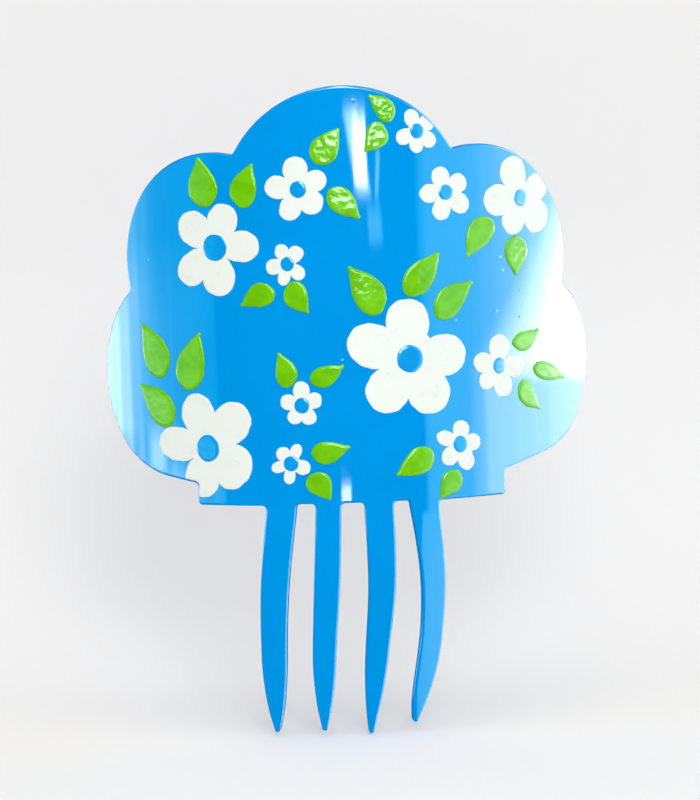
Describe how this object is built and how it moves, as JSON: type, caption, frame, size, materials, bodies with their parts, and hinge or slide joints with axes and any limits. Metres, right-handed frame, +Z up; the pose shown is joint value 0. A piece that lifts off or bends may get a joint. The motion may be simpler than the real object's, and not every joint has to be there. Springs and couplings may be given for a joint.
{
  "type": "decorative hair comb",
  "caption": "Tall bent-sheet hair comb: scalloped head plate curved round the head, long tapering tines, painted flowers with raised centres and raised leaves on the front.",
  "frame": {"origin": "On the painted front face, on the comb's middle line, at the height of the shoulders' lower edges where the tines leave the head plate.", "axes": "+Z up along the head plate, from the tines to the top lobe. +X to the right as the painted face is looked at. +Y backwards, into the hollow side; the painted face looks towards -Y."},
  "size_m": [0.1515, 0.041, 0.201],
  "materials": {
    "blue_lacquer": "clear high-gloss lacquer over blue",
    "white_paint": "satin hand-brushed paint",
    "blue_paint": "glossy raised drop of paint",
    "green_paint": "glossy thick raised paint, slightly uneven"
  },
  "bodies": {
    "root": {"comb_sheet": "blue_lacquer", "flower_01": "white_paint", "flower_02": "white_paint", "flower_03": "white_paint", "flower_04": "white_paint", "flower_05": "white_paint", "flower_06": "white_paint", "flower_07": "white_paint", "flower_08": "white_paint", "flower_09": "white_paint", "flower_10": "white_paint", "flower_11": "white_paint", "flower_12": "white_paint", "flower_centre_01": "blue_paint", "flower_centre_02": "blue_paint", "flower_centre_03": "blue_paint", "flower_centre_04": "blue_paint", "flower_centre_05": "blue_paint", "flower_centre_06": "blue_paint", "flower_centre_07": "blue_paint", "flower_centre_08": "blue_paint", "flower_centre_09": "blue_paint", "flower_centre_10": "blue_paint", "flower_centre_11": "blue_paint", "flower_centre_12": "blue_paint", "leaf_01": "green_paint", "leaf_02": "green_paint", "leaf_03": "green_paint", "leaf_04": "green_paint", "leaf_05": "green_paint", "leaf_06": "green_paint", "leaf_07": "green_paint", "leaf_08": "green_paint", "leaf_09": "green_paint", "leaf_10": "green_paint", "leaf_11": "green_paint", "leaf_12": "green_paint", "leaf_13": "green_paint", "leaf_14": "green_paint", "leaf_15": "green_paint", "leaf_16": "green_paint", "leaf_17": "green_paint", "leaf_18": "green_paint", "leaf_19": "green_paint", "leaf_20": "green_paint", "leaf_21": "green_paint", "leaf_22": "green_paint", "leaf_23": "green_paint", "leaf_24": "green_paint", "leaf_25": "green_paint"}
  },
  "joints": []
}
